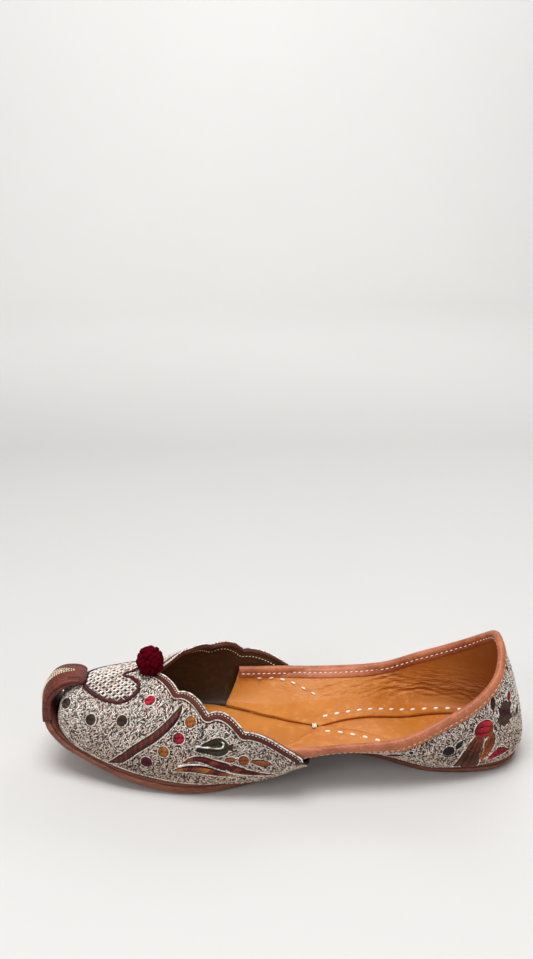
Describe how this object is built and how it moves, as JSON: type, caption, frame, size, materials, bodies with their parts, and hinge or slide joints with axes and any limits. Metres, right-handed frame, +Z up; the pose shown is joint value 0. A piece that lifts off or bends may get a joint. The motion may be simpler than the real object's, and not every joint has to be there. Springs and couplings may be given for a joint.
{
  "type": "mojari shoe",
  "caption": "Flat leather slip-on shoe with an embroidered scalloped vamp, a rolled collar, a curled toe strip and a wool pompom.",
  "frame": {"origin": "middle of the shoe's length, on the surface that it stands on, in its plane of symmetry", "axes": "+X to the toe, +Y to one side, +Z up"},
  "size_m": [0.2496, 0.0884, 0.0674],
  "materials": {
    "sole_leather": "waxed red-brown sole leather, satin, rubbed edges",
    "welt_leather": "dark red-brown leather, satin",
    "tan_leather": "smooth golden tan lining leather with soft creases",
    "collar_leather": "rolled red-tan leather with cream stitching",
    "curl_leather": "dark red-brown leather with cream stitching",
    "metal_embroidery": "dense metallic thread embroidery over dark leather",
    "binding_leather": "maroon leather binding and appliqué, satin",
    "dark_lining": "dark brown lining leather, matt",
    "cream_thread": "cream waxed thread",
    "silver_thread": "silver and champagne metal thread",
    "silk_thread": "coloured silk thread, soft sheen",
    "wool": "dark crimson wool"
  },
  "bodies": {
    "root": {"outsole": "sole_leather", "midsole": "welt_leather", "insole": "tan_leather", "turned_lining": "tan_leather", "quarter": "metal_embroidery", "collar_binding": "collar_leather", "vamp": "metal_embroidery", "toe_curl": "curl_leather", "pompom": "wool"}
  },
  "joints": []
}
